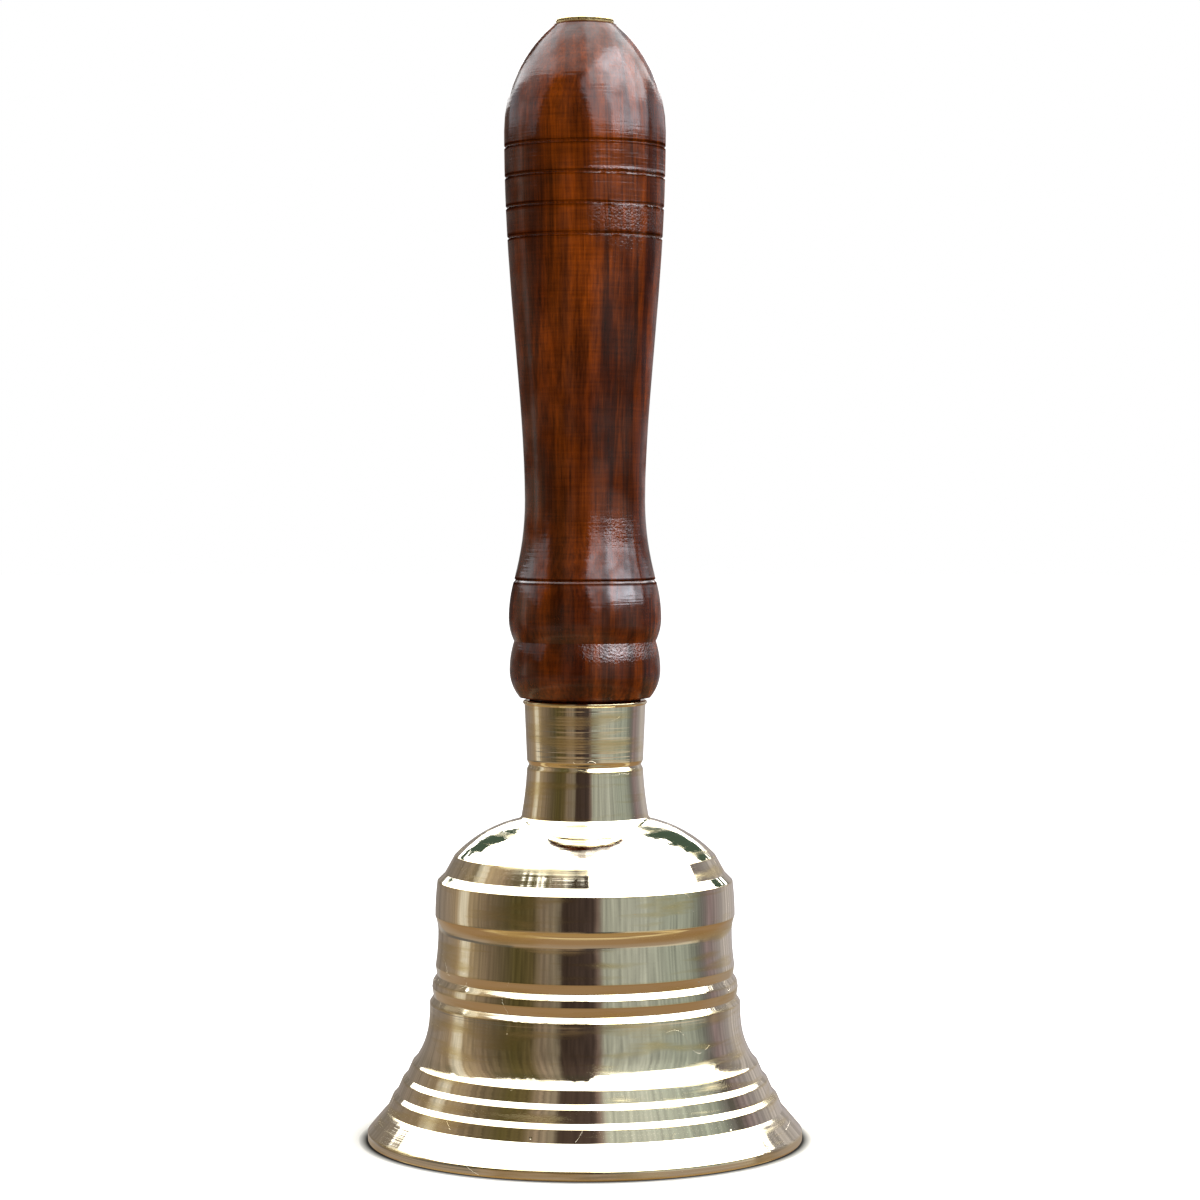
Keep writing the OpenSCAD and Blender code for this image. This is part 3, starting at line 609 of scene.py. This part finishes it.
class HANDBELL_OT_stage(bpy.types.Operator):
    """Sets up the camera, the floor, the cards round it and the lamps"""

    bl_idname = "hand_bell.stage"
    bl_label = "Set the Stage"

    def execute(self, context):
        settings = context.scene.hand_bell.stage
        scene = context.scene
        camera = bpy.data.objects.new("Camera", bpy.data.cameras.new("Camera"))
        camera.data.lens = settings.camera_lens
        camera.data.sensor_width = 36
        camera.data.clip_start = 0.01
        camera.location = settings.camera_place
        camera.rotation_euler = (math.pi / 2 - settings.camera_pitch, 0, -settings.camera_yaw)
        scene.collection.objects.link(camera)
        scene.camera = camera
        scene.view_settings.view_transform = "Standard"
        self.world(scene)
        self.floor(scene, settings)
        self.cards(scene)
        self.lamps(scene)
        return {"FINISHED"}

    def seen(self, tree):
        """1 for rays that show a thing to the eye, straight or by a reflection or refraction."""
        path = add(tree, "ShaderNodeLightPath").outputs
        some = add(tree, "ShaderNodeMath", {
            0: path["Is Camera Ray"], 1: path["Is Glossy Ray"]}, operation="MAXIMUM").outputs[0]
        return add(tree, "ShaderNodeMath", {
            0: some, 1: path["Is Transmission Ray"]}, operation="MAXIMUM").outputs[0]

    def stand(self, scene, name, shape, material):
        """Makes a shape a part of the stage."""
        mesh = bpy.data.meshes.new(name)
        shape.to_mesh(mesh)
        shape.free()
        mesh.materials.append(material)
        thing = bpy.data.objects.new(name, mesh)
        scene.collection.objects.link(thing)
        return thing

    def world(self, scene):
        """White to the eye and in reflections, and dimmer as a light."""
        world = bpy.data.worlds.new("Studio")
        world.use_nodes = True
        tree = world.node_tree
        tree.nodes.clear()
        strength = add(tree, "ShaderNodeMix", {
            0: self.seen(tree), 2: 0.26, 3: 1.0}, data_type="FLOAT").outputs[0]
        light = add(tree, "ShaderNodeBackground", {"Color": (1, 1, 1, 1), "Strength": strength}).outputs[0]
        add(tree, "ShaderNodeOutputWorld", {0: light})
        scene.world = world

    def floor(self, scene, settings):
        """Pale floor that keeps the bell's shadow near it and is lifted to white further off.

        A fine dark line, a painted contact shadow, marks where the lip rests on it. From below it is clear,
        so that the inside shows.
        """
        lip = CAD_BOX[1][0]
        material, tree = blank_material("Pale_floor")
        matt = add(tree, "ShaderNodeBsdfDiffuse", {"Color": (*settings.floor, 1)}).outputs[0]
        place = add(tree, "ShaderNodeTexCoord").outputs["Object"]
        reach = add(tree, "ShaderNodeVectorMath", {0: place}, operation="LENGTH").outputs["Value"]
        far = add(tree, "ShaderNodeMapRange", {
            "Value": reach, 1: lip - MM, 2: lip + 11 * MM, 3: 0.1, 4: 1.0,
        }, interpolation_type="SMOOTHSTEP").outputs[0]
        lift = add(tree, "ShaderNodeMath", {0: self.seen(tree), 1: far}, operation="MULTIPLY").outputs[0]
        glow = add(tree, "ShaderNodeEmission", {"Color": (1, 1, 1, 1), "Strength": lift}).outputs[0]
        lit = add(tree, "ShaderNodeAddShader", {0: matt, 1: glow}).outputs[0]
        # Painted contact shadow: within 2 mm of the lip the floor is mixed towards black.
        clear_of_painted_contact_shadow = add(tree, "ShaderNodeMapRange", {
            "Value": reach, 1: lip + 0.2 * MM, 2: lip + 2 * MM, 3: 0.05, 4: 1.0}).outputs[0]
        dark = add(tree, "ShaderNodeBsdfDiffuse", {"Color": (0, 0, 0, 1)}).outputs[0]
        above = add(tree, "ShaderNodeMixShader", {0: clear_of_painted_contact_shadow, 1: dark, 2: lit}).outputs[0]
        from_below = add(tree, "ShaderNodeNewGeometry").outputs["Backfacing"]
        clear = add(tree, "ShaderNodeBsdfTransparent").outputs[0]
        sided = add(tree, "ShaderNodeMixShader", {0: from_below, 1: above, 2: clear}).outputs[0]
        add(tree, "ShaderNodeOutputMaterial", {"Surface": sided})
        shape = bmesh.new()
        bmesh.ops.create_circle(shape, cap_ends=True, segments=128, radius=FLOOR_RADIUS)
        self.stand(scene, "floor", shape, material).visible_glossy = False

    def upright_cards(self, tree, azimuth, height, swayed):
        """Colour of the cards at eye level: bands drawn out upwards, and paler towards the top."""
        bands = add(tree, "ShaderNodeValToRGB", {"Fac": swayed}, ramp=stops(
            ROUND, (-180, "#A8A09C"), (-150, "#8A807A"), (-128, "#93857A"), (-113, "#A5927C"),
            (-107, "#E4DCD0"), (-101, "#E4DCD0"), (-97, "#A8967E"), (-80, "#807060"), (-66, "#665A48"),
            (-52, "#574E30"), (-38, "#5E5238"), (-30, "#86776A"), (-19, "#80766A"), (-15, "#40342F"),
            (8, "#463A38"), (12, "#7A6965"), (17, "#A9ADA8"), (45, "#B4B9B6"), (70, "#A2AAA6"),
            (84, "#A4ACA8"), (96, "#858B88"), (103, "#777578"), (112, "#8E7E86"), (130, "#A19BA1"),
            (142, "#C4BDC0"), (179, "#B4ACAC"))).outputs[0]
        upright = add(tree, "ShaderNodeCombineXYZ", {"X": azimuth, "Y": height}).outputs[0]
        drawn = add(tree, "ShaderNodeMapping", {"Vector": upright, "Scale": (0.4, 0.025, 1)}).outputs[0]
        streaks = add(tree, "ShaderNodeTexNoise", {
            "Vector": drawn, "Scale": 1.0, "Detail": 3.0}).outputs["Fac"]
        tone = add(tree, "ShaderNodeMapRange", {
            "Value": streaks, 1: 0.3, 2: 0.7, 3: 0.65, 4: 1.3}).outputs[0]
        streaked = add(tree, "ShaderNodeVectorMath", {
            0: bands, "Scale": tone}, operation="SCALE").outputs[0]
        risen = add(tree, "ShaderNodeMapRange", {"Value": height, 1: ABOVE[0], 2: ABOVE[1]}).outputs[0]
        washed = add(tree, "ShaderNodeValToRGB", {"Fac": risen}, ramp=stops(
            ABOVE, (18, 1), (46, 1.7), most=2)).outputs[0]
        gain = add(tree, "ShaderNodeMath", {0: washed, 1: 2.0}, operation="MULTIPLY").outputs[0]
        return add(tree, "ShaderNodeVectorMath", {0: streaked, "Scale": gain}, operation="SCALE").outputs[0]

    def low_cards(self, tree, height, swayed):
        """Colour of the cards below eye level: warm, turning to a painted shadow of dark brown straight
        down, with grey ones where they meet the upright cards.
        """
        near = add(tree, "ShaderNodeValToRGB", {"Fac": swayed}, ramp=stops(
            ROUND, (-180, "#B0A498"), (-152, "#B0AAA8"), (-132, "#6E6A6C"), (-58, "#66645E"),
            (-53, "#A38B72"), (-4, "#A38B72"), (4, "#423E40"), (21, "#4A4640"), (28, "#9A9085"),
            (36, "#D8CEC0"), (100, "#D8CEC0"), (104, "#6A6258"), (109, "#B0A090"), (120, "#8A7F7A"),
            (140, "#B0A498"), (179, "#B0A498"))).outputs[0]
        sunk = add(tree, "ShaderNodeMapRange", {"Value": height, 1: BELOW[0], 2: BELOW[1]}).outputs[0]
        # Below -66 degrees the ground turns dark brown: a painted shadow under the bell, which the lip's
        # rounded foot mirrors.
        warm = add(tree, "ShaderNodeValToRGB", {"Fac": sunk}, ramp=stops(
            BELOW, (-74, "#2E2018"), (-66, "#AF8F61"), (-40, "#AF8F61"), (-37, "#A18363"),
            (-35.5, "#EAD3A6"), (-33, "#EAD3A6"), (-31.5, "#A18363"), (-20, "#A18363"),
            (-13, "#A89686"))).outputs[0]
        close = add(tree, "ShaderNodeMapRange", {"Value": height, 1: -11.5, 2: -10.5}).outputs[0]
        return add(tree, "ShaderNodeMix", {0: close, 6: warm, 7: near}, data_type="RGBA").outputs[2]

    def blot(self, tree, shown, way, ragged, centre, elevation, half):
        """The cards with a dark patch on them that has a ragged edge, half degrees from its centre."""
        off = add(tree, "ShaderNodeVectorMath", {
            0: way, 1: toward(centre, elevation)}, operation="DISTANCE").outputs["Value"]
        frayed = add(tree, "ShaderNodeMath", {
            0: ragged, 1: 0.45, 2: off}, operation="MULTIPLY_ADD").outputs[0]
        edge = math.radians(half) + 0.45 / 2
        patch = add(tree, "ShaderNodeMapRange", {
            "Value": frayed, 1: edge - 0.01, 2: edge + 0.01, 3: 1.0, 4: 0.0}).outputs[0]
        return add(tree, "ShaderNodeMix", {
            0: patch, 6: shown, 7: (*linear("#4C5E52"), 1)}, data_type="RGBA").outputs[2]

    def cards(self, scene):
        """Cards all round, seen only in gloss: warm below, upright bands at eye level and bright above."""
        material, tree = blank_material("Cards")
        place = add(tree, "ShaderNodeTexCoord").outputs["Object"]
        way = add(tree, "ShaderNodeVectorMath", {0: place}, operation="NORMALIZE").outputs[0]
        side = add(tree, "ShaderNodeSeparateXYZ", {0: way}).outputs
        front = add(tree, "ShaderNodeMath", {0: side["Y"], 1: -1.0}, operation="MULTIPLY").outputs[0]
        turned = add(tree, "ShaderNodeMath", {0: side["X"], 1: front}, operation="ARCTAN2").outputs[0]
        azimuth = add(tree, "ShaderNodeMath", {0: turned}, operation="DEGREES").outputs[0]
        rise = add(tree, "ShaderNodeMath", {0: side["Z"]}, operation="ARCSINE").outputs[0]
        height = add(tree, "ShaderNodeMath", {0: rise}, operation="DEGREES").outputs[0]
        around = add(tree, "ShaderNodeMapRange", {"Value": azimuth, 1: ROUND[0], 2: ROUND[1]}).outputs[0]
        wobble = add(tree, "ShaderNodeTexNoise", {
            "Vector": way, "Scale": 5.0, "Detail": 3.0}).outputs["Fac"]
        shifted = add(tree, "ShaderNodeMath", {
            0: wobble, 1: 4.0, 2: azimuth}, operation="MULTIPLY_ADD").outputs[0]
        swayed = add(tree, "ShaderNodeMapRange", {"Value": shifted, 1: ROUND[0], 2: ROUND[1]}).outputs[0]
        ragged = add(tree, "ShaderNodeTexNoise", {
            "Vector": way, "Scale": 13.0, "Detail": 6.0, "Roughness": 0.6}).outputs["Fac"]
        fraying = add(tree, "ShaderNodeValToRGB", {"Fac": around}, ramp=stops(
            ROUND, (-180, 0.1), (-130, 0.15), (-112, 0.4), (-104, 0), (-80, 0), (-74, 0.3), (2, 0.3),
            (8, 0), (98, 0), (106, 0.6), (130, 0.15), (179, 0.1))).outputs[0]
        spread = add(tree, "ShaderNodeMapRange", {
            "Value": ragged, 1: 0.3, 2: 0.7, 3: -13.0, 4: 7.0}, clamp=False).outputs[0]
        tear = add(tree, "ShaderNodeMath", {0: spread, 1: fraying}, operation="MULTIPLY").outputs[0]
        top_share = add(tree, "ShaderNodeValToRGB", {"Fac": around}, ramp=stops(
            ROUND, (-180, 10), (-147, 16), (-135, 23), (-125, 29), (-114, 33), (-104, 38), (-84, 42),
            (-70, 46), (-40, 50), (-16, 53.5), (2, 54), (8, 44), (25, 40), (40, 38), (60, 34), (90, 27),
            (98, 24), (108, 28), (125, 29), (135, 25), (147, 17), (179, 10), most=90)).outputs[0]
        top = add(tree, "ShaderNodeMath", {0: top_share, 1: 90.0}, operation="MULTIPLY").outputs[0]
        over = add(tree, "ShaderNodeMath", {0: height, 1: top}, operation="SUBTRACT").outputs[0]
        torn = add(tree, "ShaderNodeMath", {0: over, 1: tear}, operation="SUBTRACT").outputs[0]
        near_top = add(tree, "ShaderNodeMapRange", {"Value": over, 1: -14.0, 2: -9.0}).outputs[0]
        shaded = add(tree, "ShaderNodeMath", {0: near_top, 1: fraying}, operation="MULTIPLY").outputs[0]
        upright = add(tree, "ShaderNodeMix", {
            0: shaded, 6: self.upright_cards(tree, azimuth, height, swayed), 7: (*linear("#38422F"), 1),
        }, data_type="RGBA").outputs[2]
        lifted = add(tree, "ShaderNodeMapRange", {"Value": height, 1: -8.6, 2: -7.9}).outputs[0]
        standing = add(tree, "ShaderNodeMix", {
            0: lifted, 6: self.low_cards(tree, height, swayed), 7: upright}, data_type="RGBA").outputs[2]
        bright_share = add(tree, "ShaderNodeValToRGB", {"Fac": around}, ramp=stops(
            ROUND, (-180, 6), (-150, 5), (-112, 4), (-60, 4), (-46, 3), (0, 3), (12, 7), (170, 7),
            (179, 6), most=8)).outputs[0]
        bright = add(tree, "ShaderNodeMath", {0: bright_share, 1: 8.0}, operation="MULTIPLY").outputs[0]
        above = add(tree, "ShaderNodeMapRange", {"Value": torn, 1: -0.5, 2: 1.5}).outputs[0]
        shown = add(tree, "ShaderNodeMix", {
            0: above, 6: standing, 7: bright}, data_type="RGBA").outputs[2]
        for centre, elevation, half in ((157, 28, 13), (-157, 27, 9)):
            shown = self.blot(tree, shown, way, ragged, centre, elevation, half)
        glow = add(tree, "ShaderNodeEmission", {"Color": shown}).outputs[0]
        add(tree, "ShaderNodeOutputMaterial", {"Surface": glow})
        shape = bmesh.new()
        bmesh.ops.create_icosphere(shape, subdivisions=5, radius=CARD_RADIUS)
        cards = self.stand(scene, "cards", shape, material)
        for ray in ("camera", "diffuse", "transmission", "volume_scatter", "shadow"):
            setattr(cards, f"visible_{ray}", False)

    def lamps(self, scene):
        """A strong soft lamp at the right, a weak one overhead, and windows that only lacquer mirrors."""
        lacquer = bpy.data.collections.new("Lacquer")
        for name, azimuth, elevation, width, height, radiance, mirrored in LAMPS:
            lamp = bpy.data.lights.new(name, "AREA")
            lamp.shape = "RECTANGLE"
            lamp.color = WINDOW_COLOUR if mirrored else (1, 1, 1)
            lamp.size = width
            lamp.size_y = height
            lamp.energy = radiance * math.pi * width * height
            way = toward(azimuth, elevation)
            place = bpy.data.objects.new(name, lamp)
            place.location = LAMP_AIM + way * LAMP_DISTANCE
            place.rotation_euler = way.to_track_quat("Z", "Y").to_euler()
            place.visible_glossy = mirrored
            place.visible_diffuse = not mirrored
            if mirrored:
                place.light_linking.receiver_collection = lacquer
            scene.collection.objects.link(place)


class HANDBELL_OT_casting(bpy.types.Operator):
    """Turns the brass casting of the bell and its neck"""

    bl_idname = "hand_bell.casting"
    bl_label = "Turn the Casting"

    def execute(self, context):
        settings = context.scene.hand_bell
        outline = eased(turned_outline("bell_casting"), settings.turning.edge_round)
        mouth = min(range(len(outline)), key=lambda i: (round(outline[i][0].y, 6), -outline[i][0].x))
        brass = cast_brass("Buffed_cast_brass", settings.brass, settings.brass.colour, 0)
        piece = turn("bell_brass", outline, brass, settings.turning.segments, mouth + 1)
        seat(piece, "bell", "bell_casting")
        return {"FINISHED"}


class HANDBELL_OT_handle(bpy.types.Operator):
    """Turns the wooden handle"""

    bl_idname = "hand_bell.handle"
    bl_label = "Turn the Handle"

    def execute(self, context):
        settings = context.scene.hand_bell
        outline = eased(turned_outline("handle"), settings.turning.wood_round, shade_reach=0.3 * MM)
        piece = turn("handle_wood", outline, lacquered_wood(settings.wood), settings.turning.segments)
        bpy.data.collections["Lacquer"].objects.link(piece)
        seat(piece, "bell", "handle")
        return {"FINISHED"}


class HANDBELL_OT_button(bpy.types.Operator):
    """Turns the brass button on the handle"""

    bl_idname = "hand_bell.button"
    bl_label = "Turn the Button"

    def execute(self, context):
        settings = context.scene.hand_bell
        outline = eased(turned_outline("top_button"), settings.turning.button_round)
        brass = cast_brass("Worn_cast_brass", settings.brass, settings.brass.button, 0.3)
        piece = turn("button_brass", outline, brass, settings.turning.segments)
        seat(piece, "bell", "top_button")
        return {"FINISHED"}


class HANDBELL_OT_fittings(bpy.types.Operator):
    """Finishes the rod, the washer and the nut"""

    bl_idname = "hand_bell.fittings"
    bl_label = "Finish the Fittings"

    def execute(self, context):
        zinc = fitting_steel("Zinc_plated_steel", "#C6C9C4", 0.3)
        bar = fitting_steel("Bright_bar_steel", "#A9A9A8", 0.35)
        for name, material in (("crown_washer", zinc), ("crown_nut", zinc), ("tie_rod", bar)):
            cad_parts[name].data.materials[0] = material
        return {"FINISHED"}


class HANDBELL_OT_clapper(bpy.types.Operator):
    """Finishes the link, the shank and the ball of the clapper"""

    bl_idname = "hand_bell.clapper"
    bl_label = "Finish the Clapper"

    def execute(self, context):
        settings = context.scene.hand_bell
        wire = fitting_steel("Drawn_steel_wire", "#B4B3B0", 0.28)
        for name in ("clapper_link", "clapper_shank"):
            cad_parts[name].data.materials[0] = wire
        outline = eased(turned_outline("clapper_ball"), settings.turning.edge_round)
        brass = bpy.data.materials["Buffed_cast_brass"]
        piece = turn("ball_brass", outline, brass, settings.turning.segments // 2)
        seat(piece, "clapper", "clapper_ball")
        return {"FINISHED"}


OPERATORS = (
    HANDBELL_OT_stage, HANDBELL_OT_casting, HANDBELL_OT_handle, HANDBELL_OT_button, HANDBELL_OT_fittings,
    HANDBELL_OT_clapper,
)


class VIEW3D_PT_hand_bell(bpy.types.Panel):
    """Panel that lists the settings, and the operators in their order"""

    bl_label = "Hand Bell"
    bl_idname = "VIEW3D_PT_hand_bell"
    bl_space_type = "VIEW_3D"
    bl_region_type = "UI"
    bl_category = "Hand Bell"

    def draw(self, context):
        settings = context.scene.hand_bell
        for group in (settings.turning, settings.brass, settings.wood, settings.stage):
            for name in type(group).__annotations__:
                self.layout.prop(group, name)
        for operator in OPERATORS:
            self.layout.operator(operator.bl_idname)


CLASSES = (
    TurningSettings, BrassSettings, WoodSettings, StageSettings, HandBellSettings, *OPERATORS,
    VIEW3D_PT_hand_bell,
)


def register():
    for cls in CLASSES:
        bpy.utils.register_class(cls)
    bpy.types.Scene.hand_bell = bpy.props.PointerProperty(type=HandBellSettings)


def unregister():
    del bpy.types.Scene.hand_bell
    for cls in reversed(CLASSES):
        bpy.utils.unregister_class(cls)


def main():
    """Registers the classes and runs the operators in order."""
    register()
    for operator in OPERATORS:
        group, name = operator.bl_idname.split(".")
        getattr(getattr(bpy.ops, group), name)()


if __name__ == "__main__":
    main()
